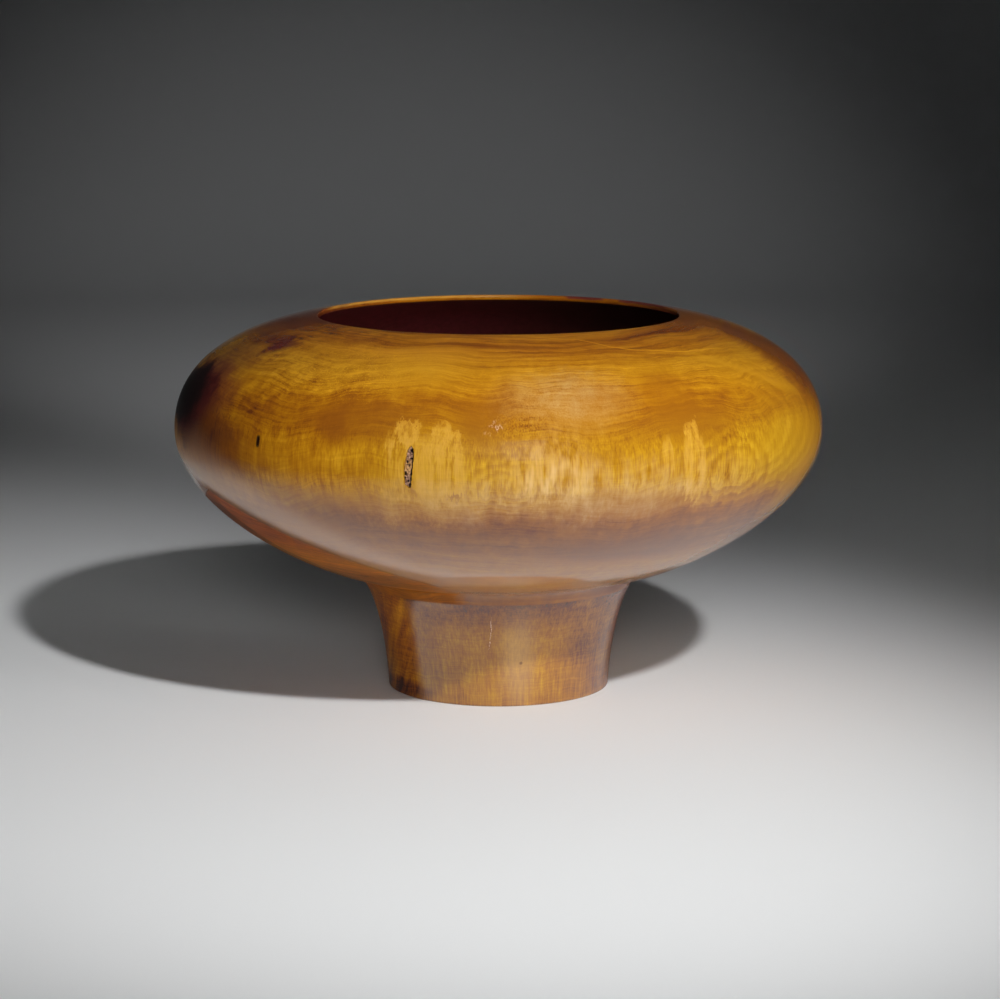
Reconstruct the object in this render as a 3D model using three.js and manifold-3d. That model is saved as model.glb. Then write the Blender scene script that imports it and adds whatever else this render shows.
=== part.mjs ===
// A turned wooden bowl: a wide, closed-in hollow body on a solid waisted foot.
// Millimetres, +Z up. Z is the axis that both parts were turned on, and Z = 0 is the surface
// that the foot stands on. Angles run anticlockwise from +X, seen from above: the front is -90 degrees.
import * as THREE from 'three';
import { mergeVertices } from 'three/addons/utils/BufferGeometryUtils.js';
import Module from 'manifold-3d';

const wasm = await Module();
wasm.setup();

// Body, outside. A reach is how far a curve runs on in its end's direction before it bends away.
const bellyRadius = 255;
const bellyHeight = 208.5;
const shoulderReach = 63.7;
const undersideReach = 61.7;
const mouthRadius = 141.8;
const rimHeight = 296.3;
const rimReach = 40;
const rimFall = 6.8;
const neckRadius = 119.5;
const neckHeight = 95.4;
const neckReach = 27.7;
const neckRise = 2.3;

// Body, inside
const wallThickness = 9;
const lipThickness = 4.5;
const lipRound = 1.2;
const floorThickness = 27;

// Seam between body and foot, in the throat of the neck
const seamHeight = 83.6;
const seamRadius = 106.3;
const seamLean = 31;
const throatReach = 7.3;

// Round tenon on the foot, glued into a mortise in the body
const tenonRadius = 45;
const tenonLength = 14;
const tenonChamfer = 1;
const fitGap = 0.3;

// Foot
const footRadius = 87.6;
const footReach = 28;
const footLean = 3.5;
const waistReach = 21.9;
const footEdgeRound = 0.8;
const restRingWidth = 19;
const hollowDepth = 2.5;

// Pockets of bark in the body wall, and the filled check in the foot
const largeBark = {
  angle: -104.5, height: bellyHeight + 5, width: 6.6, length: 31, lean: 2.6, depth: 5, sunk: 0.8,
};
const smallBark = {
  angle: -133.9, height: bellyHeight + 14.2, width: 2.8, length: 7, lean: 0.6, depth: 3.5, sunk: 0.5,
};
const footCheck = {
  angle: -93.8, height: 60.5, width: 1.9, length: 30, lean: 2.6, depth: 3, sunk: 0.1,
};
const pocketGap = 0.35;

// Facets round the axis, and steps along each stretch of profile
const facets = 72;
const longSteps = 12;
const shortSteps = 4;
const edgeSteps = 2;

// A point of a profile is (radius, height)
const at = (radius, height) => new THREE.Vector2(radius, height);

// The point that lies a reach away from another, in a direction given in degrees above outwards
function away(point, reach, degrees) {
  const angle = THREE.MathUtils.degToRad(degrees);
  return at(point.x + reach * Math.cos(angle), point.y + reach * Math.sin(angle));
}

function bend(from, fromHandle, toHandle, to, steps) {
  return new THREE.CubicBezierCurve(from, fromHandle, toHandle, to).getPoints(steps);
}

// Rounds the corner between two points
function corner(from, peak, to) {
  return new THREE.QuadraticBezierCurve(from, peak, to).getPoints(edgeSteps);
}

// Depths that change evenly from one to another, one for each point of a long stretch
function taper(from, to) {
  return Array.from({ length: longSteps + 1 }, (_, i) => THREE.MathUtils.lerp(from, to, i / longSteps));
}

// Moves each point of an outline to its left by its own depth
function offset(points, depths) {
  const last = points.length - 1;
  return points.map((point, i) => {
    const along = points[Math.min(i + 1, last)].clone().sub(points[Math.max(i - 1, 0)]).normalize();
    return at(point.x - along.y * depths[i], point.y + along.x * depths[i]);
  });
}

// Turns a profile about the Z axis. It starts and ends on the axis, and runs up the outside.
function turned(profile) {
  return new THREE.LatheGeometry(profile, facets).rotateX(Math.PI / 2);
}

function solidOf(geometry) {
  const bare = geometry.clone();
  bare.deleteAttribute('normal');
  bare.deleteAttribute('uv');
  const { attributes: { position }, index } = mergeVertices(bare);
  const corners = [];
  for (let i = 0; i < index.count; i += 3) {
    const [a, b, c] = [index.getX(i), index.getX(i + 1), index.getX(i + 2)];
    // A facet that meets the axis in a point has no area on one of its halves
    if (a !== b && b !== c && c !== a) corners.push(a, b, c);
  }
  return new wasm.Manifold(new wasm.Mesh({
    numProp: 3,
    vertProperties: new Float32Array(position.array),
    triVerts: new Uint32Array(corners),
  }));
}

function geometryOf(solid) {
  const { vertProperties, triVerts } = solid.getMesh();
  const geometry = new THREE.BufferGeometry();
  geometry.setAttribute('position', new THREE.BufferAttribute(vertProperties, 3));
  geometry.setIndex(new THREE.BufferAttribute(triVerts, 1));
  geometry.computeVertexNormals();
  return geometry;
}

// Outline of a pocket seen from outside: a leaning leaf, fuller on its lower left. It may be drawn in by a gap.
function leaf({ width, length, lean }, gap = 0) {
  const [side, end] = [width / 2 - gap, length / 2 - gap];
  const tilt = lean * end / length;
  const shape = new THREE.Shape();
  shape.moveTo(tilt, end);
  shape.bezierCurveTo(tilt - 1.5 * side, 0.8 * end, -1.4 * side - tilt, -end, -tilt, -end);
  shape.bezierCurveTo(1.1 * side - tilt, -end, tilt + 1.6 * side, end, tilt, end);
  return new THREE.Shape(shape.getPoints(shortSteps + 1).slice(0, -1));
}

// A pocket's outline as a plug, which points out of the wall at the pocket's place
function plug(pocket, outline) {
  const inner = footRadius / 2;
  const geometry = new THREE.ExtrudeGeometry(outline, {
    depth: 2 * bellyRadius - inner, bevelEnabled: false, steps: 1,
  });
  geometry.translate(0, 0, inner);
  geometry.rotateX(Math.PI / 2);
  geometry.rotateZ(THREE.MathUtils.degToRad(pocket.angle + 90));
  geometry.translate(0, 0, pocket.height);
  return solidOf(geometry);
}

// What lies deeper than a depth under an outer surface, as a full solid
function core(outside, depth) {
  const inner = offset(outside, outside.map(() => depth));
  return solidOf(turned([at(0, inner[0].y), ...inner, at(0, inner.at(-1).y)]));
}

function cutPocket(part, outside, pocket) {
  const hole = plug(pocket, leaf(pocket)).subtract(core(outside, pocket.depth));
  return part.subtract(hole);
}

// What fills a pocket: it stops short of the sides and the bottom by a gap
function filling(outside, pocket) {
  return plug(pocket, leaf(pocket, pocketGap))
    .intersect(core(outside, pocket.sunk))
    .subtract(core(outside, pocket.depth - pocketGap));
}

// Outer profiles, from the lowest point to the highest
const seam = at(seamRadius, seamHeight);
const neck = at(neckRadius, neckHeight);
const belly = at(bellyRadius, bellyHeight);
const rim = at(mouthRadius + lipRound, rimHeight);
const throat = bend(
  seam, away(seam, throatReach, 90 - seamLean), away(neck, throatReach, 180 + neckRise), neck, shortSteps,
);
const underside = bend(
  neck, away(neck, neckReach, neckRise), away(belly, undersideReach, -90), belly, longSteps,
);
const shoulder = bend(
  belly, away(belly, shoulderReach, 90), away(rim, rimReach, -rimFall), rim, longSteps,
);
const bodyOutside = [...throat, ...underside.slice(1), ...shoulder.slice(1)];

const footEdge = at(footRadius, footEdgeRound);
const footOutside = bend(
  footEdge, away(footEdge, footReach, 90 - footLean), away(seam, waistReach, 270 - seamLean), seam, longSteps,
);

function bowlBody() {
  const mortiseRadius = tenonRadius + fitGap;
  const mortiseTop = seamHeight + tenonLength + fitGap;
  const lipFoot = rimHeight - lipThickness;
  const lip = [
    ...corner(rim, at(mouthRadius, rimHeight), at(mouthRadius, rimHeight - lipRound)).slice(1),
    ...corner(
      at(mouthRadius, lipFoot + lipRound), at(mouthRadius, lipFoot), at(mouthRadius + lipRound, lipFoot),
    ),
  ];
  const floorHeight = seamHeight + floorThickness;
  const wall = [
    ...taper(floorHeight - neckHeight, wallThickness), ...taper(wallThickness, lipThickness).slice(1),
  ];
  const inside = offset([...underside, ...shoulder.slice(1)], wall);
  const profile = [
    at(0, mortiseTop), at(mortiseRadius, mortiseTop), at(mortiseRadius, seamHeight),
    ...bodyOutside, ...lip, ...inside.slice(0, -1).reverse(), at(0, floorHeight),
  ];
  let body = solidOf(turned(profile));
  body = cutPocket(body, bodyOutside, largeBark);
  body = cutPocket(body, bodyOutside, smallBark);
  return geometryOf(body);
}

function pedestalFoot() {
  const tenonTop = seamHeight + tenonLength;
  const restRadius = footRadius - footEdgeRound;
  const hollowRadius = restRadius - restRingWidth;
  const hollow = bend(
    at(0, hollowDepth), at(hollowRadius / 2, hollowDepth), at(hollowRadius / 2, hollowDepth),
    at(hollowRadius, 0), shortSteps,
  );
  const profile = [
    ...hollow,
    ...corner(at(restRadius, 0), at(footRadius, 0), footEdge),
    ...footOutside.slice(1),
    at(tenonRadius, seamHeight), at(tenonRadius, tenonTop - tenonChamfer),
    at(tenonRadius - tenonChamfer, tenonTop), at(0, tenonTop),
  ];
  return geometryOf(cutPocket(solidOf(turned(profile)), footOutside, footCheck));
}

function wood(color, roughness) {
  return new THREE.MeshStandardMaterial({ color, roughness, metalness: 0 });
}

function piece(name, geometry, material) {
  const mesh = new THREE.Mesh(geometry, material);
  mesh.name = name;
  return mesh;
}

const bowl = new THREE.Group();
bowl.add(
  piece('bowl_body', bowlBody(), wood(0xb5771f, 0.3)),
  piece('pedestal_foot', pedestalFoot(), wood(0x9c6a3a, 0.35)),
  piece('bark_inclusion', geometryOf(filling(bodyOutside, largeBark)), wood(0x6b4630, 0.85)),
  piece('small_bark_inclusion', geometryOf(filling(bodyOutside, smallBark)), wood(0x4a2a18, 0.85)),
  piece('foot_check_filler', geometryOf(filling(footOutside, footCheck)), wood(0xc9a27e, 0.6)),
);

export default bowl;
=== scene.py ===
import math
import bpy
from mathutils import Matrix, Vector, noise


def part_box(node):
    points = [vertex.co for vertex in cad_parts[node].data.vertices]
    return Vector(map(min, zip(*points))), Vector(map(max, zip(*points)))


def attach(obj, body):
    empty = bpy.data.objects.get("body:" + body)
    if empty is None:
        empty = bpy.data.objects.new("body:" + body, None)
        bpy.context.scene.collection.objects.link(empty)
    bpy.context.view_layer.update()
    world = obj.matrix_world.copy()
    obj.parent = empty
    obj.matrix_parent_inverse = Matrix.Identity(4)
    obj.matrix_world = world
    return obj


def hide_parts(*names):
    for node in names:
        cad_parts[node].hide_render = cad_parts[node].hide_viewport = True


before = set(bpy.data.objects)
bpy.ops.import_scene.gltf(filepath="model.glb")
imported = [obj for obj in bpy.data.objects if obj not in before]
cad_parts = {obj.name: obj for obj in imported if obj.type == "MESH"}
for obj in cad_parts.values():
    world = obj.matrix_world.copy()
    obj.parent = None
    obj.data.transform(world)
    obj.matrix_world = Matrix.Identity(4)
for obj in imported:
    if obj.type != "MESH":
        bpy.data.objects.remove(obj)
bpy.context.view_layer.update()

MM = 0.001

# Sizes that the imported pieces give
BODY_LOW, BODY_HIGH = (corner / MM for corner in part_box("bowl_body"))
_, FOOT_HIGH = (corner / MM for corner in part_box("pedestal_foot"))
BELLY_RADIUS = BODY_HIGH.x
RIM_HEIGHT = BODY_HIGH.z
SEAM_HEIGHT = BODY_LOW.z
SEAM_RADIUS = FOOT_HIGH.x
TENON_TOP = FOOT_HIGH.z

# Body. A reach is how far a curve runs on in its end's direction before it bends away. Leans are in degrees.
BELLY_HEIGHT = 208.5
SHOULDER_REACH = 63.7
UNDERSIDE_REACH = 61.7
MOUTH_RADIUS = 141.8
RIM_REACH = 40
RIM_FALL = 6.8
NECK_RADIUS = 119.5
NECK_HEIGHT = 95.4
NECK_REACH = 27.7
NECK_RISE = 2.3
SEAM_LEAN = 31
THROAT_REACH = 7.3
WALL = 9
LIP = 4.5
LIP_ROUND = 1.2
LIP_CORNER = 0.35
LIP_RUN = 0.5
FLOOR_OVER_SEAM = 27
FLOOR_RING = 60
NEAR_AXIS = 1

# Foot
FOOT_RADIUS = 87.6
FOOT_EDGE = 0.8
FOOT_CORNER = (0.55, 0.25)
FOOT_REACH = 28
FOOT_LEAN = 3.5
WAIST_REACH = 21.9
REST_RING = 19
FOOT_HOLLOW = 2.5
HOLLOW_RING = 40
TENON_RADIUS = 45
TENON_CHAMFER = 1
FIT_GAP = 0.3

# Pockets: bearing and height of the middle, depth, and the outline in millimetres right and up from there
LARGE_POCKET = (-14.5, 213.5, 5, (
    (1.3, 15.3), (3.1, 12.6), (3.5, 7), (3.1, 2.3), (2.5, -4), (1.9, -10.3), (1.3, -14.4), (0, -15.3),
    (-3.1, -12.8), (-3.5, -8.7), (-3.5, -4), (-3.3, 1.6), (-2.2, 7), (-1.3, 11.7),
))
SMALL_POCKET = (-43.9, 222.7, 3.5, ((0.5, 3.4), (1.3, 1.5), (0.8, -1.2), (0, -3.3), (-1.1, -1.9), (-0.7, 1)))
POCKET_REACH = (6, 18)
POCKET_SLOPE = 0.35
POCKET_GAP = 0.35

# Pits in the bark: millimetres right and up from the pocket's middle, and size
LARGE_PITS = (
    (-2.6, -4.5, 1.6), (-2.9, -8, 1.2), (0.2, -13.2, 1.7), (-1.2, 3.5, 0.9), (1.6, 11.5, 1.3), (1.2, 6, 0.9),
    (-0.6, -10, 1),
)
SMALL_PITS = ((0, 2.2, 2), (0, -1.5, 2))

# The check in the foot runs through these places (bearing, height), from its lower end to its upper one
FOOT_CHECK = ((-4.7, 46), (-4.3, 48), (-4.0, 52), (-3.7, 57), (-3.1, 63), (-3.3, 68.5), (-3.0, 74.5))
CHECK_DEPTH = 2.5

# Meshes: steps along a profile and round it, and the heights and bearings that need finer ones for the pockets
OUTLINE_STEP = 0.5
FINE_STEP = 0.45
PLAIN_STEP = 2.4
INSIDE_STEP = 4
FOOT_STEP = 1.5
BARK_STEP = 0.3
COLUMN_STEP = 0.75
POCKET_HEIGHTS = (197, 230)
POCKET_ZONES = ((-15.4, -13.5, 0.1), (-44.5, -43.3, 0.1))
CHECK_ZONES = ((-5.5, -2.2, 0.15),)
SHARP_DEGREES = 50


def away(point, reach, degrees):
    """The point a reach away, in a direction given in degrees above outwards."""
    angle = math.radians(degrees)
    return (point[0] + reach * math.cos(angle), point[1] + reach * math.sin(angle))


def bend(start, start_handle, end_handle, end, step):
    """Points (radius, height) on a smooth curve, about a step apart."""
    count = max(2, round(math.dist(start, end) * 1.1 / step))
    points = []
    for i in range(count + 1):
        t = i / count
        weights = ((1 - t) ** 3, 3 * (1 - t) ** 2 * t, 3 * (1 - t) * t * t, t ** 3)
        ends = (start, start_handle, end_handle, end)
        points.append(tuple(sum(w * p[k] for w, p in zip(weights, ends)) for k in (0, 1)))
    return points


def body_outside(step):
    """The outside of the body, from the seam up to the rim."""
    seam, neck = (SEAM_RADIUS, SEAM_HEIGHT), (NECK_RADIUS, NECK_HEIGHT)
    belly, rim = (BELLY_RADIUS, BELLY_HEIGHT), (MOUTH_RADIUS + LIP_ROUND, RIM_HEIGHT)
    throat = bend(
        seam, away(seam, THROAT_REACH, 90 - SEAM_LEAN), away(neck, THROAT_REACH, 180 + NECK_RISE), neck, step / 2,
    )
    underside = bend(neck, away(neck, NECK_REACH, NECK_RISE), away(belly, UNDERSIDE_REACH, -90), belly, step)
    shoulder = bend(belly, away(belly, SHOULDER_REACH, 90), away(rim, RIM_REACH, -RIM_FALL), rim, step)
    return throat + underside[1:] + shoulder[1:]


def foot_outside(step):
    """The outside of the foot, from its edge up to the seam."""
    edge, seam = (FOOT_RADIUS, FOOT_EDGE), (SEAM_RADIUS, SEAM_HEIGHT)
    return bend(edge, away(edge, FOOT_REACH, 90 - FOOT_LEAN), away(seam, WAIST_REACH, 270 - SEAM_LEAN), seam, step)


def lengths(profile, start=0):
    """Distance along a profile to each of its points."""
    run = [start]
    for a, b in zip(profile, profile[1:]):
        run.append(run[-1] + math.dist(a, b))
    return run


FOOT_PROFILE = foot_outside(OUTLINE_STEP)
BODY_PROFILE = body_outside(OUTLINE_STEP)
FOOT_LENGTHS = lengths(FOOT_PROFILE)
BODY_LENGTHS = lengths(BODY_PROFILE, FOOT_LENGTHS[-1])
OUTLINE = list(zip(FOOT_LENGTHS + BODY_LENGTHS, FOOT_PROFILE + BODY_PROFILE))


def on_outline(height):
    """Distance along the outside from the foot's edge, and radius, at a height."""
    along, point = min(OUTLINE, key=lambda item: abs(item[1][1] - height))
    return along, point[0]


def refined(values, zones):
    """Puts evenly spaced values inside each zone (low, high, step) in place of those that lie there."""
    for low, high, step in zones:
        count = math.ceil((high - low) / step)
        values = [v for v in values if not low < v < high]
        values += [low + (high - low) * i / count for i in range(count + 1)]
    return sorted(set(values))


def bearings(zones):
    """Bearings of the columns of a turned mesh, closer together inside the zones."""
    return refined([-180 + COLUMN_STEP * i for i in range(round(360 / COLUMN_STEP))], zones)


def thinned(profile, keep_fine, step):
    """Leaves out points of a fine profile closer than a step, outside the heights that stay fine."""
    kept = [profile[0]]
    for point in profile[1:-1]:
        if keep_fine[0] < point[1] < keep_fine[1] or math.dist(point, kept[-1]) >= step:
            kept.append(point)
    return kept + [profile[-1]]


def offset(points, depths):
    """Moves each point of a profile to its left by its own depth."""
    moved = []
    for i, point in enumerate(points):
        a, b = points[max(i - 1, 0)], points[min(i + 1, len(points) - 1)]
        run = math.dist(a, b)
        moved.append((point[0] - (b[1] - a[1]) / run * depths[i], point[1] + (b[0] - a[0]) / run * depths[i]))
    return moved


def inset(point, outline):
    """How far a point lies inside a closed outline, or a negative number outside it."""
    inside, near = False, math.inf
    for (ax, ay), (bx, by) in zip(outline, outline[1:] + outline[:1]):
        t = ((point[0] - ax) * (bx - ax) + (point[1] - ay) * (by - ay)) / ((bx - ax) ** 2 + (by - ay) ** 2)
        t = min(max(t, 0), 1)
        near = min(near, math.dist(point, (ax + t * (bx - ax), ay + t * (by - ay))))
        if (ay > point[1]) != (by > point[1]) and point[0] < ax + (point[1] - ay) * (bx - ax) / (by - ay):
            inside = not inside
    return near if inside else -near


def placed(radius, angle, height):
    """The point in space at a radius, at an angle from the front in radians, and at a height."""
    return (radius * math.sin(angle) * MM, -radius * math.cos(angle) * MM, height * MM)


def piece(name, vertices, faces, along=None):
    mesh = bpy.data.meshes.new(name)
    mesh.from_pydata(vertices, [], faces)
    mesh.polygons.foreach_set("use_smooth", [True] * len(mesh.polygons))
    mesh.set_sharp_from_angle(angle=math.radians(SHARP_DEGREES))
    if along:
        mesh.attributes.new("along", "FLOAT", "POINT").data.foreach_set("value", along)
    mesh.update()
    made = bpy.data.objects.new(name, mesh)
    bpy.context.scene.collection.objects.link(made)
    return made


def turned(name, profile, columns, marks=None, carve=None):
    """Turns a profile of (radius, height) about Z. Each point may have a mark, kept as the attribute "along"."""
    vertices, faces = [], []
    n = len(columns)
    for radius, height in profile:
        for bearing in columns:
            depth = carve(bearing, radius, height) if carve else 0
            vertices.append(placed(radius - depth, math.radians(bearing), height))
    for i in range(len(profile) - 1):
        for j in range(n):
            k = (j + 1) % n
            faces.append((i * n + j, i * n + k, (i + 1) * n + k, (i + 1) * n + j))
    faces.append(tuple(range(n - 1, -1, -1)))
    faces.append(tuple((len(profile) - 1) * n + j for j in range(n)))
    return piece(name, vertices, faces, [mark for mark in marks for _ in columns] if marks else None)


def dress(made, node, slot, *finishes):
    for finish in finishes:
        made.data.materials.append(finish)
    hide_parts(node)
    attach(made, "root")


class Amount:
    """A number inside a finish. Arithmetic on amounts is done by Math nodes."""

    def __init__(self, finish, socket):
        self.finish = finish
        self.socket = socket

    def math(self, operation, *values):
        inputs = dict(zip(("Value", "Value_001", "Value_002"), (self, *values)))
        return Amount(self.finish, self.finish.node("Math", {"operation": operation}, inputs).outputs[0])

    def __add__(self, other):
        return self.math("ADD", other)

    __radd__ = __add__

    def __mul__(self, other):
        return self.math("MULTIPLY", other)

    __rmul__ = __mul__

    def __sub__(self, other):
        return self.math("SUBTRACT", other)

    def __rsub__(self, other):
        return self.math("MULTIPLY_ADD", -1, other)

    def __abs__(self):
        return self.math("ABSOLUTE")

    def least(self, other):
        return self.math("MINIMUM", other)

    def most(self, other):
        return self.math("MAXIMUM", other)

    def ramp(self, low, high, bottom, top, curve="LINEAR"):
        """Goes evenly from bottom to top as this amount goes from low to high."""
        values = {"Value": self, "From Min": low, "From Max": high, "To Min": bottom, "To Max": top}
        return Amount(self.finish, self.finish.node("MapRange", {"interpolation_type": curve}, values).outputs[0])

    def rise(self, low, high):
        """Goes smoothly from 0 to 1 as this amount goes from low to high."""
        return self.ramp(low, high, 0, 1, "SMOOTHSTEP")


class Finish:
    """A surface put together node by node."""

    def __init__(self, name):
        self.material = bpy.data.materials.new(name)
        self.material.use_nodes = True
        self.tree = self.material.node_tree
        self.surface = self.tree.nodes["Principled BSDF"]

    def feed(self, socket, value):
        value = value.socket if isinstance(value, Amount) else value
        if isinstance(value, bpy.types.NodeSocket):
            self.tree.links.new(value, socket)
        elif socket.type == "RGBA":
            socket.default_value = (*value, 1)
        else:
            socket.default_value = value

    def node(self, kind, settings, values):
        """Any node: its type without the prefix, its settings, and what its sockets get.

        The stops of a colour ramp count as a setting.
        """
        made = self.tree.nodes.new("ShaderNode" + kind)
        for name, value in settings.items():
            if name == "stops":
                steps = made.color_ramp.elements
                while len(steps) < len(value):
                    steps.new(0.5)
                for step, (place, colour) in zip(steps, value):
                    step.position = place
                for step, (place, colour) in zip(steps, value):
                    step.color = (*colour, 1)
            else:
                setattr(made, name, value)
        sockets = {socket.identifier: socket for socket in made.inputs}
        for name, value in values.items():
            self.feed(sockets[name], value)
        return made

    def set(self, **values):
        for name, value in values.items():
            self.feed(self.surface.inputs[name.replace("_", " ")], value)

    def vector(self, x, y, z):
        return self.node("CombineXYZ", {}, {"X": x, "Y": y, "Z": z}).outputs[0]

    def times(self, vector, factors):
        """Multiplies a place or a colour part by part."""
        return self.node("VectorMath", {"operation": "MULTIPLY"}, {"Vector": vector, "Vector_001": factors}).outputs[0]

    def shade(self, colour, amount):
        """Makes a colour darker or lighter by an amount, or a place larger."""
        return self.node("VectorMath", {"operation": "SCALE"}, {"Vector": colour, "Scale": amount}).outputs[0]

    def length(self, vector):
        made = self.node("VectorMath", {"operation": "LENGTH"}, {"Vector": vector})
        return Amount(self, made.outputs["Value"])

    def mottle(self, place, detail, roughness=0.5):
        """Noise from -1 to 1, mostly near 0."""
        values = {"Vector": place, "Scale": 1, "Detail": detail, "Roughness": roughness}
        return Amount(self, self.node("TexNoise", {}, values).outputs[0]).ramp(0.2, 0.8, -1, 1)

    def blend(self, amount, below, above):
        made = self.node("Mix", {"data_type": "RGBA"}, {"Factor_Float": amount, "A_Color": below, "B_Color": above})
        return next(s for s in made.outputs if s.identifier == "Result_Color")

    def bands(self, amount, levels):
        """Colour by amount, through levels given as (amount, colour)."""
        low, high = levels[0][0], levels[-1][0]
        stops = [((level - low) / (high - low), colour) for level, colour in levels]
        return self.node("ValToRGB", {"stops": stops}, {"Fac": amount.ramp(low, high, 0, 1)}).outputs[0]

    def course(self, amount, levels):
        """A number from 0 to 100 by amount, through levels given as (amount, number)."""
        greys = [(level, (n / 100, n / 100, n / 100)) for level, n in levels]
        return Amount(self, self.bands(amount, greys)) * 100


# Wood under clear lacquer. The slants are where the mirroring starts to grow and where it is full.
WOOD_ROUGHNESS = 0.42
WOOD_IOR = 1.5
WOOD_SHINE = 0.15
LACQUER_ROUGHNESS = 0.085
LACQUER_IOR = 2.32
SLANTS = (0.1, 0.6)


class Wood(Finish):
    """Solid wood with an upright trunk, so that rings run round the piece and fibres run up it.

    Its tone is the red part of its colour in hundredths. The tone is built up first, and the colour follows it.
    """

    LINE_FADE = 3

    def __init__(self, name):
        super().__init__(name)
        self.spot = self.shade(self.node("TexCoord", {}, {}).outputs["Object"], 1 / MM)
        apart = self.node("SeparateXYZ", {}, {"Vector": self.spot})
        self.x, self.y, self.height = (Amount(self, s) for s in apart.outputs)
        self.bearing = self.x.math("ARCTAN2", self.y * -1) * math.degrees(1)
        self.along = Amount(self, self.node("Attribute", {"attribute_name": "along"}, {}).outputs["Fac"])

    def stretched(self, across, up):
        """The place in the wood, scaled differently across the trunk and up it."""
        return self.times(self.spot, (across, across, up))

    def grow(self, place, levels):
        """Gives the wood its tone by the place along the outside, through levels given as (height, tone)."""
        self.tone = self.course(place, [(on_outline(height)[0], n) for height, n in levels])

    def lay(self, mark, strength, number):
        """Brings the tone towards a number on a mark."""
        self.tone = self.tone + (number - self.tone) * (mark * strength)

    def lay_patches(self, rows):
        """Lays one oval mark for each row: bearing, lowest and highest height, half width, softness, strength, tone."""
        for *place, strength, number in rows:
            self.lay(self.patch(*place), strength, number)

    def tint(self, mark, colour):
        """Brings the colour towards another on a mark."""
        self.colour = self.blend(mark, self.colour, colour)

    def drift(self, degrees, up):
        """Moves the figure that is laid on after this by small uneven amounts."""
        self.bearing_drawn = self.bearing + degrees
        self.along_drawn = self.along + up
        self.drawn = self.vector(self.bearing_drawn, self.along_drawn, 0)

    def laid(self, bearing, low, high, wide):
        """Place on a mark, from -1 to 1 across and up it.

        Its half width is in degrees, and it stands between two heights.
        """
        bottom, top = on_outline(low)[0], on_outline(high)[0]
        scale = (1 / wide, 2 / (top - bottom), 0)
        shift = (-bearing / wide, -(top + bottom) / (top - bottom), 0)
        values = {"Vector": self.drawn, "Vector_001": scale, "Vector_002": shift}
        return self.node("VectorMath", {"operation": "MULTIPLY_ADD"}, values).outputs[0]

    def patch(self, bearing, low, high, wide, soft):
        """A soft-edged oval mark."""
        return self.length(self.laid(bearing, low, high, wide)).rise(1 + soft, 1 - soft)

    def flame(self, bearing, low, high, wide, soft):
        """An upright mark with straight sides and blunt ends."""
        place = self.laid(bearing, low, high, wide)
        square = self.times(place, place)
        far = self.node("VectorMath", {"operation": "DOT_PRODUCT"}, {"Vector": square, "Vector_001": square})
        return Amount(self, far.outputs["Value"]).rise((1 + soft) ** 4, (1 - soft) ** 4)

    def eye(self, bearing, low, high, wide, rings):
        """Rings round an oval place, which fade out."""
        far = self.length(self.laid(bearing, low, high, wide))
        return (far * rings).math("SINE") * far.rise(0.2, 0.7) * far.rise(1.9, 1.1)

    def level(self, points):
        """Distance along the outside to a line through points (bearing, height)."""
        runs = [(bearing, on_outline(height)[0]) for bearing, height in points]
        level = runs[0][1]
        for (b0, s0), (b1, s1) in zip(runs, runs[1:]):
            level = self.bearing_drawn.ramp(b0, b1, 0, s1 - s0) + level
        return level

    def line(self, points, width):
        """A thin line over the surface, through points (bearing, height)."""
        near = abs(self.along_drawn - self.level(points)).rise(width, 0)
        first, last = points[0][0], points[-1][0]
        near = near * self.bearing.rise(first - self.LINE_FADE, first + self.LINE_FADE)
        return near * self.bearing.rise(last + self.LINE_FADE, last - self.LINE_FADE)

    def lacquered(self, thin, least):
        """Clear lacquer, which mirrors the floor most where it is seen at a slant. It may be thin in places."""
        slant = Amount(self, self.node("LayerWeight", {}, {"Blend": 0.5}).outputs["Facing"])
        weight = slant.ramp(*SLANTS, least, 1) * (1 - thin)
        self.set(Roughness=WOOD_ROUGHNESS, IOR=WOOD_IOR, Specular_IOR_Level=WOOD_SHINE)
        self.set(Coat_Weight=weight, Coat_Roughness=LACQUER_ROUGHNESS, Coat_IOR=LACQUER_IOR)


# Colour of the wood by its tone
TONES = (
    (4, (0.035, 0.006, 0.006)), (15, (0.15, 0.033, 0.006)), (25, (0.25, 0.074, 0.005)), (33, (0.33, 0.113, 0.004)),
    (41, (0.41, 0.155, 0.004)), (48, (0.48, 0.203, 0.005)), (54, (0.54, 0.240, 0.008)), (60, (0.60, 0.280, 0.012)),
    (70, (0.70, 0.330, 0.012)),
)

# Colours of single features of the body. Some of them are painted light: sheen, a glint, reflections of the floor and
# shade.
PALE_GOLD = (0.56, 0.29, 0.05)
SHEEN_SAND = (0.50, 0.31, 0.11)
SHEEN_CREAM = (0.72, 0.47, 0.22)
STRAW = (0.60, 0.42, 0.22)
DULL_STRAW = (0.52, 0.37, 0.25)
SMUDGE = (0.22, 0.07, 0.04)
PAINTED_GLINT = (0.62, 0.40, 0.28)
LIP_GOLD = (0.50, 0.27, 0.06)
LIP_RED = (0.14, 0.022, 0.024)
HEART = (0.010, 0.002, 0.002)
PLUM = (0.085, 0.011, 0.010)
DEEP_PLUM = (0.09, 0.014, 0.012)
MOUTH_PLUM = (0.115, 0.014, 0.016)
RIM_PLUM = (0.10, 0.016, 0.014)
LOW_BROWN = (0.115, 0.026, 0.009)
HIGH_BROWN = (0.165, 0.045, 0.012)
RED_BROWN = (0.165, 0.038, 0.016)
PAINTED_FLOOR_REFLECTION = (0.75, 0.45, 0.28)
PAINTED_LOW_REFLECTION = (0.62, 0.42, 0.35)
SHADED_UNDER_GOLD = (0.42, 0.122, 0.004)
SHADED_UNDER_RED = (0.34, 0.068, 0.004)
SLIT_SHADE = (0.02, 0.006, 0.003)

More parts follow.
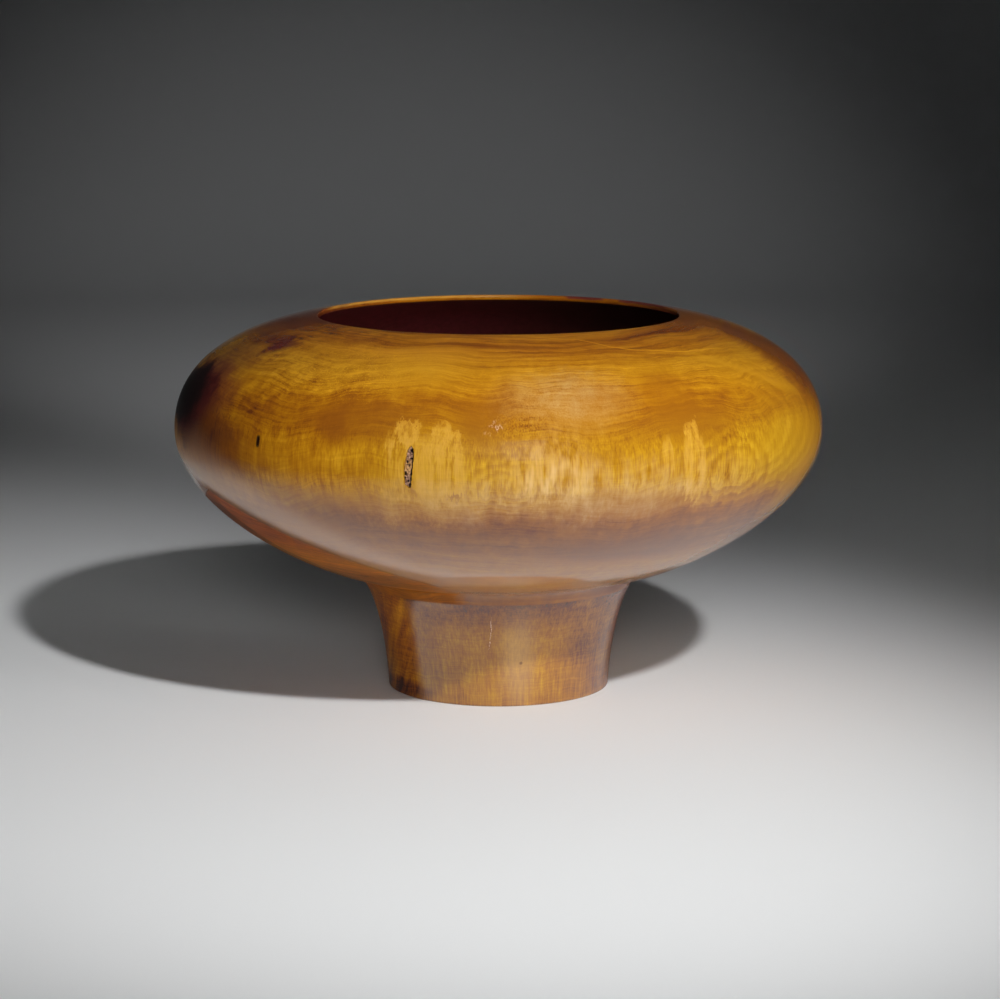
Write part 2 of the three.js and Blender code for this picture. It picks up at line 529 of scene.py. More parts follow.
# Tone of the body by height, from the neck up to the mouth
BODY_COURSE = (
    (83.6, 20), (85.2, 32), (87, 23), (91, 29), (94, 25), (97, 36), (104, 39), (112, 40), (124, 38), (135, 33),
    (150, 26), (162, 24), (172, 27), (181, 36), (190, 43), (198, 45), (215, 43.5), (224, 42), (231, 40), (237, 37),
    (244, 34), (251, 35), (257, 38), (264, 42), (271, 47), (278, 51), (284, 49), (288, 42), (291.5, 38), (294.5, 46),
    (296.2, 40),
)

# Brown clouds over the belly, and what breaks them up, as rows of Wood.lay_patches
BROWN_PATCHES = (
    (-29, 226, 252, 3.6, 0.5, 0.55, 20),
    (-22, 231, 258, 10, 0.5, 0.5, 23),
    (-13, 248, 260, 6, 0.6, 0.25, 30),
    (0, 230, 246, 3.5, 0.6, 0.3, 32),
    (28, 134, 160, 18, 0.6, 0.65, 16),
    (-37, 144, 170, 9, 0.6, 0.5, 36),
    (-36, 98, 117, 22, 0.6, 0.6, 16),
    (31, 234, 255, 7, 0.6, 0.35, 28),
    (24, 230, 247, 4, 0.6, 0.3, 30),
    (40, 222, 246, 4, 0.6, 0.45, 32),
    (32, 234, 276, 5, 0.7, 0.6, 33),
    (-3, 236, 256, 6, 0.7, 0.35, 33),
    (-32, 238, 262, 12, 0.6, 0.45, 27),
    (13, 236, 266, 8, 0.6, 0.6, 46),
    (-2, 236, 264, 5, 0.6, 0.6, 30),
    (34, 226, 246, 7, 0.6, 0.35, 34),
    (22, 174, 196, 10, 0.6, 0.45, 31),
    (17, 240, 264, 5, 0.6, 0.4, 36),
    (36, 232, 258, 7, 0.6, 0.35, 28),
    (-1, 238, 256, 3.5, 0.6, 0.35, 26),
    (58, 84, 97, 20, 0.6, 0.7, 10),
    (-58, 192, 232, 13, 0.5, 0.65, 15),
    (-50, 228, 254, 12, 0.6, 0.3, 22),
    (-54, 252, 272, 8, 0.7, 0.5, 44),
)

# Golden wood on the right with darker streaks at its edge, and golden wood over the mouth's left
GOLDEN_PATCHES = (
    (62, 186, 236, 18, 0.5, 0.7, 53),
    (62, 236, 256, 13, 0.5, 0.5, 42),
    (57, 252, 280, 10, 0.6, 0.5, 53),
    (79, 238, 292, 10, 0.5, 0.8, 14),
    (51, 199, 208, 1.6, 0.7, 0.5, 36),
    (-38, 274, 292, 13, 0.7, 0.4, 56),
    (-17, 275, 292, 9, 0.7, 0.5, 62),
    (-16, 262, 280, 6, 0.8, 0.5, 60),
    (68, 148, 206, 9, 0.6, 0.65, 62),
    (-38, 198, 226, 10, 0.5, 0.35, 50),
)

# Upright cracks on the left: bearing, lowest and highest height, half width
CRACKS = ((-43.5, 189, 221, 0.2), (-28.2, 194, 213, 0.2), (-30.4, 198, 211, 0.16), (-41.2, 195, 204, 0.2))

# Thin bright and dark lines over the right shoulder, and a dark one under the mouth's left, each given as
# places (bearing, height), width, strength and tone
SHOULDER_LINES = (
    (((9, 295.2), (21, 293.4), (27, 289.5), (33, 286.5), (45, 283.5), (56, 282)), 1.5, 0.95, 74),
    (((12, 293), (26, 286.5), (36, 283.2), (46, 280.5), (60, 278.5)), 3, 0.6, 33),
    (((33, 291), (44, 290), (58, 288.5)), 1.6, 0.45, 52),
    (((30, 293), (44, 292), (60, 290.5)), 2, 0.6, 30),
    (((46, 282), (54, 270), (62, 256), (69, 246)), 9, 0.6, 62),
    (((-52, 293.5), (-35, 293.5), (-22, 292.2), (-8, 292), (4, 290)), 2.2, 0.6, 27),
)

# Pale tongues in the golden belly: bearing, lowest and highest height, half width, softness, strength
TONGUES = (
    (-15.2, 231, 246, 1.9, 0.14, 1),
    (-9.3, 214, 243.5, 1.8, 0.14, 1),
    (-6.6, 214, 240.5, 1.1, 0.16, 1),
    (-9.8, 190, 233, 4.2, 0.25, 0.9),
    (34, 182, 230, 2.3, 0.16, 0.9),
    (34, 214, 239.5, 1.4, 0.16, 0.9),
    (28.8, 207, 227, 0.8, 0.5, 0.8),
    (13, 198, 217, 0.8, 0.8, 0.55),
)

# Lines (bearing, height) on the left: the edge of the thin lacquer, above which a painted reflection of the floor lies,
# the edge below which painted shade darkens the wood, and a smudge under the rim
THIN_EDGE = ((-73, 163), (-64, 174), (-56, 164), (-48, 152), (-40, 140), (-32, 128), (-24, 117), (-16, 107))
SHADE_EDGE = ((-72, 175), (-64, 168), (-56, 130), (-48, 114), (-40, 106), (-32, 98))
RIM_SMUDGE = ((-72, 291.5), (-60, 293), (-50, 294))


class BodyWood(Wood):
    """Golden wood of the body. Its methods add the parts of its figure, one over the other, in the order written."""

    def __init__(self):
        super().__init__("lacquered_body_wood")

        # Unevenness from the broadest to the finest, lines and rings round the axis, and where the side and throat are
        self.broad = self.mottle(self.stretched(0.009, 0.004), 1)
        self.swirl = self.mottle(self.stretched(0.035, 0.016), 3, 0.6)
        self.clouds = self.mottle(self.stretched(0.10, 0.05), 2, 0.6)
        self.fingers = self.mottle(self.stretched(0.32, 0.028), 2, 0.65)
        self.fibres = self.mottle(self.stretched(1.1, 0.10), 1, 0.6)
        run = self.along + self.broad * 13 + self.swirl * 3
        self.lines = self.mottle(self.vector(self.x * 0.018, self.y * 0.018, run * 0.40), 3, 0.8)
        self.rings = self.mottle(self.vector(self.x * 0.006, self.y * 0.006, run * 0.13), 1, 0.5)
        self.side = self.height.rise(184, 200) * self.height.rise(246, 226)
        self.throat = self.height.rise(100, 94)

    def growth(self):
        """Rings and heartwood."""
        wave = self.broad * 6 + self.swirl * 5 + self.clouds * 3 + self.fingers * self.side * 3
        self.grow(self.along + wave * (1 - self.throat * 0.85), BODY_COURSE)

    def streaks(self):
        """Fine streaks round the shoulder and the underside, and upright ones round the belly."""
        high = self.height.rise(226, 246)
        near_mouth = self.height.rise(276, 288)
        left = self.bearing.rise(-12, -42) * self.bearing.rise(-165, -115) * self.height.rise(186, 200)
        right = self.bearing.rise(34, 44) * self.bearing.rise(165, 115) * self.side
        tone = self.tone + self.lines * (high * 14 + left * 8 + 7 - self.side * 2)
        tone = tone + self.rings * (high * 2 + near_mouth * 18 + 3)
        tone = tone + self.fingers * (self.side * 6 + left * 5 + right * 6 + 2)
        tone = tone + self.fibres * (self.side * 8 + right * 5 + high * 4 + 1)
        tone = tone + self.clouds * (left * 12 + right * 6 + 5) + self.swirl * 3
        self.drift(0, 0)
        place = self.vector(self.bearing * 0.35 - self.along * 0.11, self.along * 0.02, 5)
        self.tone = tone + self.mottle(place, 3, 0.65) * self.patch(-44, 240, 294, 30, 0.5) * 11

    def clouded_belly(self):
        """Brown wood over the belly, golden wood round it, and rings round three eyes."""
        self.drift(self.swirl * 1.5 + self.clouds * 1.2, self.swirl * 6 + self.clouds * 4 + self.lines * 3)
        self.lay_patches(BROWN_PATCHES + GOLDEN_PATCHES)
        self.tone = self.tone + self.eye(43, 184, 222, 8, 15) * 5 + self.eye(1, 186, 216, 5, 15) * 4
        self.tone = self.tone + self.eye(38, 190, 272, 27, 40) * self.bearing.rise(42, 56) * (self.clouds * 4 + 3)

    def cracks(self):
        self.drift(self.swirl * 0.6, 0)
        for place in CRACKS:
            self.lay(self.flame(*place, 0.7), 0.35, 24)

    def shoulder(self):
        """Thin lines over the shoulder, darker wood round the ends of the mouth, and flecks of pores."""
        self.drift(0, self.swirl * 2)
        for points, width, strength, number in SHOULDER_LINES:
            self.lay(self.line(points, width), strength, number)
        self.lay(abs(self.bearing).rise(44, 74) * self.height.rise(287, 296), 0.55, 20)
        self.lay(self.bearing.rise(-58, -76) * self.bearing.rise(-150, -105) * self.height.rise(280, 292), 0.7, 13)
        self.lay(self.fibres.rise(0.25, 0.6) * self.patch(-33, 262, 292, 16, 0.6), 0.8, 72)

    def tongues(self):
        """Pale tongues that stand up out of the golden belly, and a small painted sheen."""
        swirl, fingers, fibres = self.swirl, self.fingers, self.fibres
        self.drift(swirl * 1.1 + fingers * 0.8, swirl * 6 + fingers * 7 + fibres * 2)
        pale = self.flame(-15.6, 196, 236, 2.2, 0.5) * (fingers + 0.35).most(0)
        pale = pale.most(self.patch(7, 196, 223, 3, 0.9) * (fingers * 1.2 + 0.45))
        for *place, strength in TONGUES:
            pale = pale.most(self.flame(*place) * strength)
        self.pale = pale * (fingers * 0.8 + swirl * 0.5 + self.clouds * 0.5 + 0.8)
        self.lay(self.pale, 0.85, 56)
        self.tone = self.tone + (self.lines * 8 + fibres * 8) * self.pale
        self.lay(self.patch(-13, 168, 200, 8, 0.7) * (fingers * 0.5 + swirl * 0.5 + 0.6).most(0), 0.7, 50)
        # Painted sheen: a small paler patch near the glint.
        self.lay(self.patch(3, 236, 250, 4, 0.8) * (fibres + 0.5), 0.4, 58)

    def far_lip(self):
        """The far side of the lip: golden on the left, darker on the right, with a dark nick."""
        self.far = self.y.rise(30, 60) * (self.height + self.clouds * 0.5).rise(293.6, 295)
        self.lay(self.far, 0.8, 56)
        self.lay(self.far * self.x.rise(-45, 5), 0.75, 30)
        self.lay(self.far * self.x.rise(-131, -127) * self.x.rise(-119, -123), 0.7, 14)

    def coloured(self):
        """The colour by tone, more yellow round the belly and more orange at the mouth, with single pale places, among
        them painted sheen and a painted glint.
        """
        clouds, fingers, fibres, lines = self.clouds, self.fingers, self.fibres, self.lines
        golden = self.height.rise(170, 198) * self.height.rise(266, 222)
        golden = golden * self.bearing.rise(-38, -8) * self.bearing.rise(76, 52)
        hue = self.vector(1, 1 + golden * 0.21 - self.height.rise(276, 293) * 0.14, 1 + golden * 0.6)
        self.colour = self.times(self.bands(self.tone, TONES), hue)
        self.tint(self.pale * 0.5, PALE_GOLD)
        # Painted sheen: a sandy, duller patch above the belly where the lacquer catches a light.
        self.tint(self.patch(12, 246, 275, 9, 0.8) * (clouds * 0.3 + lines * 0.3 + fibres * 0.2 + 0.4), SHEEN_SAND)
        # Painted sheen: a pale cream patch on the belly where the lacquer catches a light.
        self.tint(self.patch(9, 194, 230, 5, 0.9) * (clouds * 0.3 + fingers * 0.3 + 0.16), SHEEN_CREAM)
        self.tint(self.patch(16, 182, 216, 25, 0.7) * (clouds * 0.25 + fingers * 0.15 + 0.15), STRAW)
        self.tint(self.patch(6, 172, 196, 26, 0.7) * (lines * 0.15 + self.swirl * 0.1 + 0.12), DULL_STRAW)
        self.tint(self.patch(-6.9, 191, 195, 1.1, 0.8) * 0.5, SMUDGE)
        self.tint(self.far * self.x.rise(40, 0) * 0.5, LIP_GOLD)
        # Painted glint: a small pale scribble on the belly.
        self.tint(self.patch(-0.1, 241.8, 246.6, 0.9, 0.7) * fibres.rise(-0.2, 0.3) * 0.8, PAINTED_GLINT)
        place = self.x + clouds * 6
        red = (place.rise(50, 60) * place.rise(92, 82)).most(place.rise(92, 102))
        self.tint(self.far * red * 0.9, LIP_RED)

    def heart(self):
        """Dark heart in the left side, and the plum-coloured wood round it."""
        swirl, clouds, fingers, lines = self.swirl, self.clouds, self.fingers, self.lines
        self.drift(swirl * 4 + fingers * 1.6 + self.fibres * 0.6, swirl * 14 + clouds * 5 + lines * 6)
        stripes = (fingers * 0.6 + lines * 0.5 + swirl * 0.5 + 0.85).least(1)
        upright = (fingers * 1.6 + swirl * 0.6).most(0).least(0.8)
        self.tint(self.patch(-66, 204, 236, 12, 0.45) * stripes * 0.85, LOW_BROWN)
        self.tint(self.patch(-67, 264, 291, 12, 0.5) * stripes * 0.6, HIGH_BROWN)
        self.tint(self.patch(-58, 196, 250, 7, 0.6) * upright, DEEP_PLUM)
        self.tint(self.patch(-69, 222, 272, 13.5, 0.3) * stripes * 0.85, RED_BROWN)
        self.tint(self.patch(-72, 212, 266, 9.8, 0.25), PLUM)
        self.tint(self.patch(-77, 220, 263, 11, 0.25), HEART)
        self.tint(self.patch(-59.5, 280.5, 288.5, 5.6, 0.4) * (stripes + 0.1), MOUTH_PLUM)
        self.tint(self.line(RIM_SMUDGE, 2.5) * 0.5, RIM_PLUM)

    def underside(self):
        """Painted reflections of the floor low on the belly, and below their edge on the left orange wood under thin
        lacquer, darkened by painted shade.
        """
        self.drift(0, 0)
        above = self.along - self.level(THIN_EDGE)
        # Painted reflection: a pale rose veil over the wood just above the mirrored shadow's edge on the left.
        pale = above.rise(1, 8) * above.rise(62, 30) * self.bearing.rise(-6, -16) * self.bearing.rise(-110, -76)
        self.tint(pale * 0.27, PAINTED_FLOOR_REFLECTION)
        # Painted reflection: a dull rose patch low on the front, where the lacquer mirrors the lit floor.
        self.tint(self.patch(-3, 111, 124, 15, 0.5) * 0.4, PAINTED_LOW_REFLECTION)
        self.low_left = above.rise(1, -1.5) * self.bearing.rise(-10, -20) * self.bearing.rise(-150, -100)
        figure = 1 - self.patch(-34, 100, 116, 18, 0.6) * 0.45 - self.throat * 0.2
        figure = figure + self.lines * 0.7 + self.rings * 0.3 + self.clouds * 0.2
        # Painted shade: the wood gets darker below the shade edge, low on the underside.
        dark = (self.level(SHADE_EDGE) - self.along).rise(-4, 9) * self.height.rise(97, 105)
        orange = self.shade(self.blend(self.height.rise(126, 142), SHADED_UNDER_GOLD, SHADED_UNDER_RED), figure)
        # Below the mirrored shadow's edge on the left the colour is orange wood, darkened there as painted shade.
        self.tint(self.low_left * (dark * 0.2 + 0.75), self.shade(orange, 1 - dark * 0.6))
        # Painted shade: a dark rim round the small bark, where its slit lies sunk in.
        self.tint(self.flame(-43.9, 219, 226.3, 0.34, 0.4), SLIT_SHADE)

    def coated(self):
        """Lacquer that is thin at the lower left, over the left shoulder and at the right of the neck."""
        upper_left = self.bearing.rise(-16, -32) * self.bearing.rise(-150, -105)
        upper_left = upper_left * self.height.rise(186, 202) * self.height.rise(274, 254)
        thin = (self.low_left * 0.97).most(upper_left * 0.7).most(self.patch(60, 84, 98, 14, 0.5) * 0.6)
        self.lacquered(thin, 0.25)


def body_wood():
    wood = BodyWood()
    wood.growth()
    wood.streaks()
    wood.clouded_belly()
    wood.cracks()
    wood.shoulder()
    wood.tongues()
    wood.far_lip()
    wood.coloured()
    wood.heart()
    wood.underside()
    wood.coated()
    grain = wood.node("Bump", {}, {"Strength": 0.2, "Distance": 0.00003, "Height": wood.fibres})
    wood.set(Base_Color=wood.colour, Normal=grain.outputs[0])
    return wood.material


# Foot: tone by height, and marks as rows of Wood.lay_patches, before and after its dark right side is laid on
FOOT_COURSE = (
    (0.8, 30), (10, 33), (20, 35), (30, 35), (40, 37), (50, 38), (60, 34), (66, 28), (72, 23), (78, 17), (83.5, 13),
)
FOOT_PATCHES = (
    (-58, 46, 86, 16, 0.5, 0.45, 46),
    (-64, -8, 12, 22, 0.6, 0.85, 6),
    (-36, 24, 68, 6, 0.7, 0.6, 23),
    # Painted sheen: this row makes the wood paler where the lacquer mirrors a light.
    (7, 32, 62, 8, 0.7, 0.65, 52),
    (53, 22, 66, 19, 0.5, 0.75, 16),
    (54, -6, 26, 20, 0.5, 0.5, 16),
)
LATER_FOOT_PATCHES = (
    (66, -8, 26, 15, 0.6, 0.6, 16),
    (-28, 76, 86, 8, 0.6, 0.5, 40),
    (40, 77, 86, 6, 0.6, 0.5, 44),
    (4, 76, 84, 9, 0.6, 0.35, 9),
)
FOOT_SHEEN = (0.46, 0.29, 0.15)
PIN_KNOT = (0.12, 0.04, 0.012)


def foot_wood():
    wood = Wood("lacquered_foot_wood")
    swirl = wood.mottle(wood.stretched(0.06, 0.02), 3, 0.55)
    fibres = wood.mottle(wood.stretched(0.6, 0.022), 3, 0.7)
    wood.drift(swirl * 3, swirl * 2.5)
    lines = wood.mottle(wood.vector(wood.x * 0.02, wood.y * 0.02, wood.along_drawn * 0.7), 3, 0.75)
    wood.grow(wood.along_drawn, FOOT_COURSE)
    wood.lay(wood.bearing.rise(-34, -50) * wood.bearing.rise(-110, -80), 0.7, 32)
    wood.lay_patches(FOOT_PATCHES)
    wood.lay(wood.bearing.rise(62, 76) * wood.bearing.rise(110, 90), 0.7, 8)
    wood.lay_patches(LATER_FOOT_PATCHES)

    # Slanting streaks on the left, where the lacquer is thin
    left = wood.bearing.rise(-38, -50) * wood.bearing.rise(-120, -90)
    slanting = wood.mottle(wood.vector(wood.bearing * 0.12 - wood.height * 0.05, wood.height * 0.012, 3), 2, 0.6)
    wood.tone = wood.tone + swirl * 7 + fibres * 15 + lines * 8 + (slanting * 34 + lines * 6) * left
    hue = wood.vector(1, wood.height.ramp(22, 42, 1.19, 1.08) * (1 - left * 0.2), 1.2)
    wood.colour = wood.times(wood.bands(wood.tone, TONES), hue)
    # Painted sheen: a paler, duller upright band at the front of the foot.
    wood.tint(wood.patch(10, 0, 74, 8, 0.8) * 0.4, FOOT_SHEEN)
    wood.tint(wood.patch(12.1, 35, 37, 0.6, 0.5) * 0.8, PIN_KNOT)
    wood.set(Base_Color=wood.colour)
    right = wood.bearing.rise(62, 74) * wood.bearing.rise(130, 100)
    wood.lacquered((left * 0.85).most(right * 0.6), 0.55)
    return wood.material


INSIDE_LEFT = (0.17, 0.024, 0.036)
INSIDE_RIGHT = (0.03, 0.008, 0.010)
INSIDE_LOW = (0.13, 0.040, 0.018)


def inside_wood():
    """Dark wood inside, plum-coloured near the mouth and brown with a clear grain lower down."""
    wood = Wood("dark_inside_wood")
    streak = wood.mottle(wood.stretched(0.2, 0.02), 3, 0.6)
    swirl = wood.mottle(wood.stretched(0.02, 0.012), 2, 0.5)
    grain = wood.mottle(wood.vector(wood.x * 0.01, (wood.y + swirl * 25) * 0.13, wood.height * 0.03), 3, 0.7)
    low = wood.height.rise(240, 160)
    colour = wood.blend(low, wood.blend(wood.x.rise(-90, 110), INSIDE_LEFT, INSIDE_RIGHT), INSIDE_LOW)
    figure = (1 + streak * 0.35 + grain * low * 0.9).most(0.2)
    wood.set(Base_Color=wood.shade(colour, figure), Roughness=0.55, Coat_Weight=0.4, Coat_Roughness=0.25)
    return wood.material


BARK_BROWN = (0.17, 0.080, 0.048)
BARK_PALE = (0.44, 0.26, 0.17)
BARK_TAN = (0.50, 0.27, 0.06)
PIT_SHADE = (0.020, 0.010, 0.008)
FILLER = (0.75, 0.5, 0.3)


def bark():
    """Dry bark. Its attribute is how deep the crust lies, and its deep places, the pits and the worn right edge, get
    painted shade, nearly black.
    """
    wood = Wood("bark")
    crumb = wood.mottle(wood.stretched(0.7, 0.7), 3, 0.65)
    wood.colour = wood.blend(crumb.rise(-0.35, 0.35), BARK_BROWN, BARK_PALE)
    wood.tint(wood.height.rise(206, 212) * wood.height.rise(221, 216) * 0.5, BARK_TAN)
    # Painted shade: nearly black where the crust lies deepest, in the pits and along the worn right edge.
    wood.tint((wood.along + crumb * 0.5).rise(1.1, 2.1), PIT_SHADE)
    wood.set(Base_Color=wood.colour, Roughness=0.8)
    return wood.material


def check_filler():
    filler = Finish("check_filler")
    filler.set(Base_Color=FILLER, Roughness=0.5)
    return filler.material


def pocket_depth(pockets):
    """A function for how deep the outside is cut in at a place by any of these pockets."""
    def depth(bearing, radius, height):
        for place, level, deep, outline in pockets:
            right, up = math.radians(bearing - place) * radius, height - level
            if abs(right) < POCKET_REACH[0] and abs(up) < POCKET_REACH[1]:
                return deep * min(max(inset((right, up), outline) / POCKET_SLOPE, 0), 1)
        return 0
    return depth


# Body, turned from the mortise up the outside, over the lip, down the inside and over the floor
fine = thinned(body_outside(FINE_STEP), POCKET_HEIGHTS, PLAIN_STEP)
lip_foot = RIM_HEIGHT - LIP
lip = [
    (MOUTH_RADIUS + LIP_CORNER, RIM_HEIGHT - LIP_CORNER), (MOUTH_RADIUS, RIM_HEIGHT - LIP_ROUND),
    (MOUTH_RADIUS, lip_foot + LIP_ROUND), (MOUTH_RADIUS + LIP_CORNER, lip_foot + LIP_CORNER),
    (MOUTH_RADIUS + LIP_ROUND, lip_foot),
]
walled = [p for p in thinned(body_outside(OUTLINE_STEP), (0, 0), INSIDE_STEP) if p[1] > NECK_HEIGHT - 0.1]
belly_at = min(
    range(len(walled)), key=lambda i: abs(walled[i][1] - BELLY_HEIGHT) + abs(walled[i][0] - BELLY_RADIUS),
)
floor_height = SEAM_HEIGHT + FLOOR_OVER_SEAM


def wall_at(i):
    """Thickness of the wall at a point of the walled outside: thicker towards the floor, thinner towards the lip."""
    if i < belly_at:
        return WALL + (floor_height - NECK_HEIGHT - WALL) * (1 - i / belly_at)
    return WALL + (LIP - WALL) * (i - belly_at) / (len(walled) - 1 - belly_at)


inside = offset(walled, [wall_at(i) for i in range(len(walled))])[:-1][::-1]
inner = inside + [(FLOOR_RING, floor_height), (NEAR_AXIS, floor_height)]
mortise = TENON_RADIUS + FIT_GAP
under = [(mortise, TENON_TOP + FIT_GAP), (mortise, SEAM_HEIGHT)]
marks = [0] * len(under) + lengths(fine, FOOT_LENGTHS[-1])
marks += lengths(lip, marks[-1] + LIP_RUN) + [0] * len(inner)
body_columns = bearings(POCKET_ZONES)
body = turned(
    "bowl_shell", under + fine + lip + inner, body_columns, marks, pocket_depth([LARGE_POCKET, SMALL_POCKET]),
)
dress(body, "bowl_body", "body_wood", body_wood(), inside_wood())
inside_faces = range(
    (len(under) + len(fine) + len(lip) - 1) * len(body_columns), (len(marks) - 1) * len(body_columns),
)
for face in body.data.polygons:
    if face.index in inside_faces:
        face.material_index = 1

# Foot, turned from its hollow over the rest ring and up the outside to the tenon
foot_fine = foot_outside(FOOT_STEP)
rest = FOOT_RADIUS - FOOT_EDGE
foot_low = [
    (NEAR_AXIS, FOOT_HOLLOW), (HOLLOW_RING, FOOT_HOLLOW * 0.8), (rest - REST_RING, 0), (rest, 0),
    (rest + FOOT_CORNER[0], FOOT_CORNER[1]),
]
foot_top = [
    (TENON_RADIUS, SEAM_HEIGHT), (TENON_RADIUS, TENON_TOP - TENON_CHAMFER), (TENON_RADIUS - TENON_CHAMFER, TENON_TOP),
]
foot = turned(
    "turned_foot", foot_low + foot_fine + foot_top, bearings(CHECK_ZONES),
    [0] * len(foot_low) + lengths(foot_fine) + [0] * len(foot_top),
)
dress(foot, "pedestal_foot", "foot_wood", foot_wood())


def rough(x, y, z):
    """Smooth noise from -1 to 1 for the shapes."""
    return noise.noise(Vector((x, y, z)))


def crumbled(name, pocket, pits):
    """Bark that fills a pocket. Its crust is rough, worn away along the right edge, and broken by pits."""
    place, level, deep, outline = pocket
    vertices, faces, sunken, found = [], [], [], {}
    low = [min(p[k] for p in outline) for k in (0, 1)]
    high = [max(p[k] for p in outline) for k in (0, 1)]
    _, radius = on_outline(level)

    def crust(right, up):
        crumbs = rough(right * 0.55, up * 0.55, level) + 0.6 * rough(right * 1.4, up * 1.4, level)
        worn = max(0, 1 - inset((right + 0.8, up - 0.6), outline) / 0.9) * (right > -0.5)
        sunk = 0.75 + crumbs * 1.3 + 1.6 * worn
        for x, y, size in pits:
            sunk += 2.4 * max(0, 1 - math.dist((right, up * 0.8), (x, y * 0.8)) / size)
        return min(max(sunk, 0.15), deep - 2 * POCKET_GAP)

    def corner(i, j, layer):
        if (i, j, layer) not in found:
            right, up = low[0] + i * BARK_STEP, low[1] + j * BARK_STEP
            sunk = crust(right, up)
            sunken.append(sunk)
            r = on_outline(level + up)[1] - (deep - POCKET_GAP if layer else sunk)
            found[i, j, layer] = len(vertices)
            vertices.append(placed(r, math.radians(place) + right / radius, level + up))
        return found[i, j, layer]

    across, tall = (math.ceil((high[k] - low[k]) / BARK_STEP) for k in (0, 1))
    filled = {
        (i, j) for i in range(across) for j in range(tall)
        if inset((low[0] + (i + 0.5) * BARK_STEP, low[1] + (j + 0.5) * BARK_STEP), outline) > POCKET_GAP
    }
    for i, j in sorted(filled):
        ring = [(i, j), (i + 1, j), (i + 1, j + 1), (i, j + 1)]
        faces.append([corner(a, b, 0) for a, b in ring])
        faces.append([corner(a, b, 1) for a, b in reversed(ring)])
        for side, other in enumerate(((i, j - 1), (i + 1, j), (i, j + 1), (i - 1, j))):
            if other not in filled:
                a, b = ring[side], ring[(side + 1) % 4]
                faces.append([corner(*b, 0), corner(*a, 0), corner(*a, 1), corner(*b, 1)])
    return piece(name, vertices, faces, sunken)


dress(crumbled("large_bark", LARGE_POCKET, LARGE_PITS), "bark_inclusion", "bark", bark())
dress(crumbled("small_bark", SMALL_POCKET, SMALL_PITS), "small_bark_inclusion", "bark", bark())


def inlaid_line(name, points, deep):
    """A thin waving strip let into the foot along points (bearing, height), wide where it fills a wider spot."""
    vertices, faces = [], []
    steps = 60
    proud = -0.02
    for i in range(steps + 1):
        t = i / steps * (len(points) - 1)
        k = min(int(t), len(points) - 2)
        bearing, height = (points[k][c] + (points[k + 1][c] - points[k][c]) * (t - k) for c in (0, 1))
        half = 0.12 + 0.5 * max(0, rough(height * 0.35, 4.2, 1.7)) + 0.25 * max(0, rough(height * 1.3, 7, 2))
        half *= min(1, 4 * i / steps + 0.1, 4 * (1 - i / steps) + 0.1)
        wave = 0.3 * rough(height * 0.6, 0.5, 3.3)
        _, radius = on_outline(height)
        for side, sunk in ((-1, proud), (1, proud), (1, deep), (-1, deep)):
            vertices.append(placed(radius - sunk, math.radians(bearing) + (wave + side * half) / radius, height))
    for i in range(steps):
        for c in range(4):
            d = (c + 1) % 4
            faces.append((i * 4 + c, i * 4 + d, i * 4 + 4 + d, i * 4 + 4 + c))
    faces += [(3, 2, 1, 0), tuple(steps * 4 + c for c in range(4))]
    return piece(name, vertices, faces)


dress(inlaid_line("foot_check", FOOT_CHECK, CHECK_DEPTH), "foot_check_filler", "filler", check_filler())

# Pale card that runs flat under the bowl and sweeps up all round
FLAT = 3000
SWEEP = 2200
CARD_TOP = 3600
card_profile = [(NEAR_AXIS, 0), (500, 0), (1200, 0), (2400, 0), (FLAT, 0)]
for degrees in range(5, 95, 5):
    t = math.radians(degrees)
    card_profile.append((FLAT + SWEEP * math.sin(t), SWEEP * (1 - math.cos(t))))
card_profile.append((FLAT + SWEEP, CARD_TOP))
card = turned("card_sweep", card_profile, [3.0 * i for i in range(120)])
paper = Finish("pale_card")
paper.set(Base_Color=(0.79, 0.8, 0.805), Roughness=0.95, Specular_IOR_Level=0)
card.data.materials.append(paper.material)


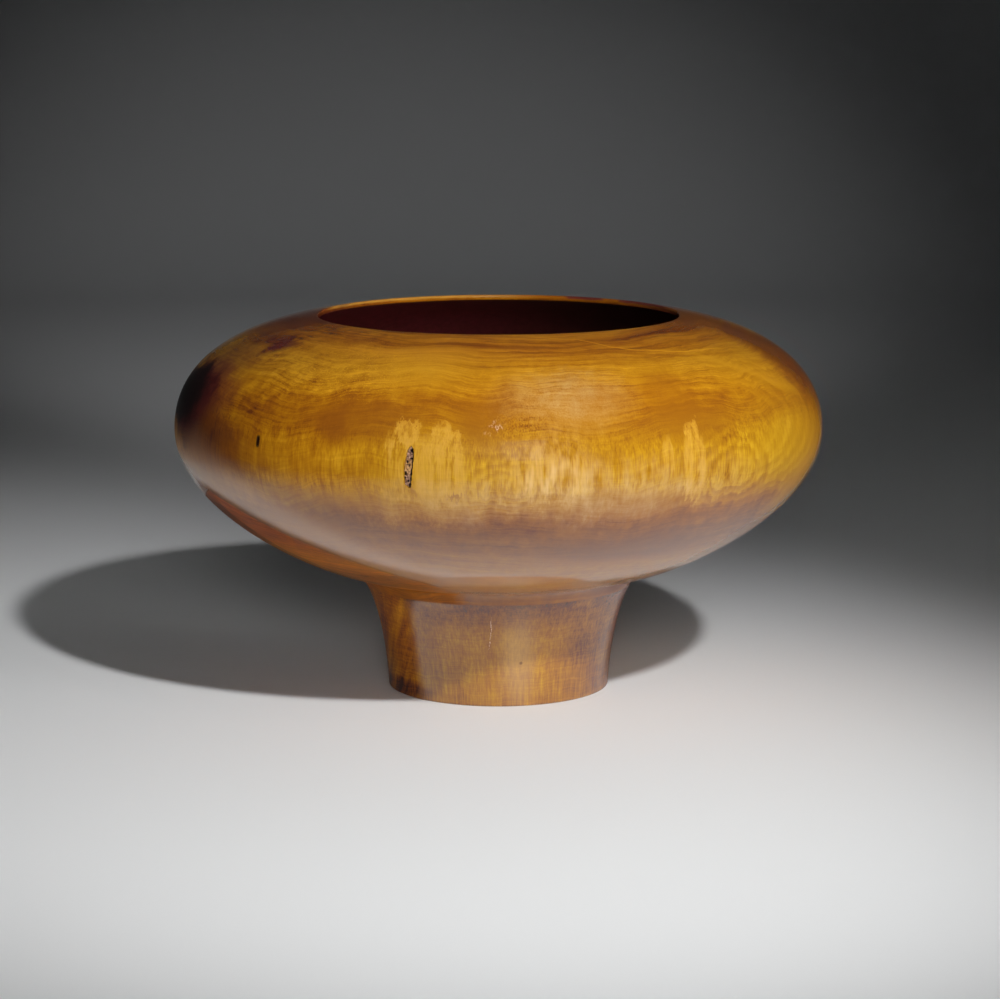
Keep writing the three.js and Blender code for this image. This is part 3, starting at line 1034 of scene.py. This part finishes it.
def lamp(name, kind, place, target, **settings):
    """A lamp at a place, turned to a target, in metres. It isn't seen by the camera or mirrored."""
    light = bpy.data.lights.new(name, kind)
    for setting, value in settings.items():
        setattr(light, setting, value)
    made = bpy.data.objects.new(name, light)
    bpy.context.scene.collection.objects.link(made)
    made.location = place
    made.rotation_mode = "QUATERNION"
    made.rotation_quaternion = (Vector(target) - Vector(place)).to_track_quat("-Z", "Y")
    made.visible_camera = False
    made.visible_glossy = False
    return made


lamp(
    "key", "SPOT", (0.78, -1.72, 1.58), (-0.13, -0.22, 0),
    energy=200, spot_size=math.radians(38), spot_blend=1, shadow_soft_size=0.06,
)
lamp("key_diffuser", "AREA", (0.80, -1.76, 1.62), (0, 0, 0.1), shape="DISK", size=1.5, energy=2)
lamp(
    "front_fill", "AREA", (0.1, -2.9, 1.0), (0, -0.15, 0.06),
    shape="ELLIPSE", size=1.6, size_y=0.8, spread=math.radians(27), energy=1.1,
)
lamp(
    "right_fill", "AREA", (1.7, -0.5, 0.3), (0.1, 0, 0.22),
    shape="DISK", size=0.5, spread=math.radians(24), energy=0.4,
)

# A card that is only seen mirrored in the lacquer
sheen = lamp("sheen_card", "AREA", (0.7, -4.4, 1.5), (0, 0, 0.2), shape="RECTANGLE", size=1.2, size_y=2.2, energy=6)
sheen.visible_glossy = True
sheen.visible_diffuse = False

lamp(
    "backdrop_glow", "SPOT", (-0.02, -1.0, 1.23), (-0.19, 3.2, -0.12),
    energy=105, spot_size=math.radians(30), spot_blend=1, shadow_soft_size=0.1,
)

world = bpy.data.worlds.new("studio")
bpy.context.scene.world = world
world.use_nodes = True
background = world.node_tree.nodes["Background"]
background.inputs["Color"].default_value = (1, 1, 1, 1)
background.inputs["Strength"].default_value = 0.026
bpy.context.scene.view_settings.view_transform = "Standard"

# Camera in front of the bowl, which looks down by its tilt in degrees
CAMERA_PLACE = (0.00125, -2.3962, 0.5606)
CAMERA_TILT = 9.774
lens = bpy.data.cameras.new("camera")
lens.lens = 110.14
lens.sensor_width = 36
lens.clip_end = 100
camera = bpy.data.objects.new("camera", lens)
bpy.context.scene.collection.objects.link(camera)
camera.location = CAMERA_PLACE
camera.rotation_euler = (math.radians(90 - CAMERA_TILT), 0, 0)
bpy.context.scene.camera = camera
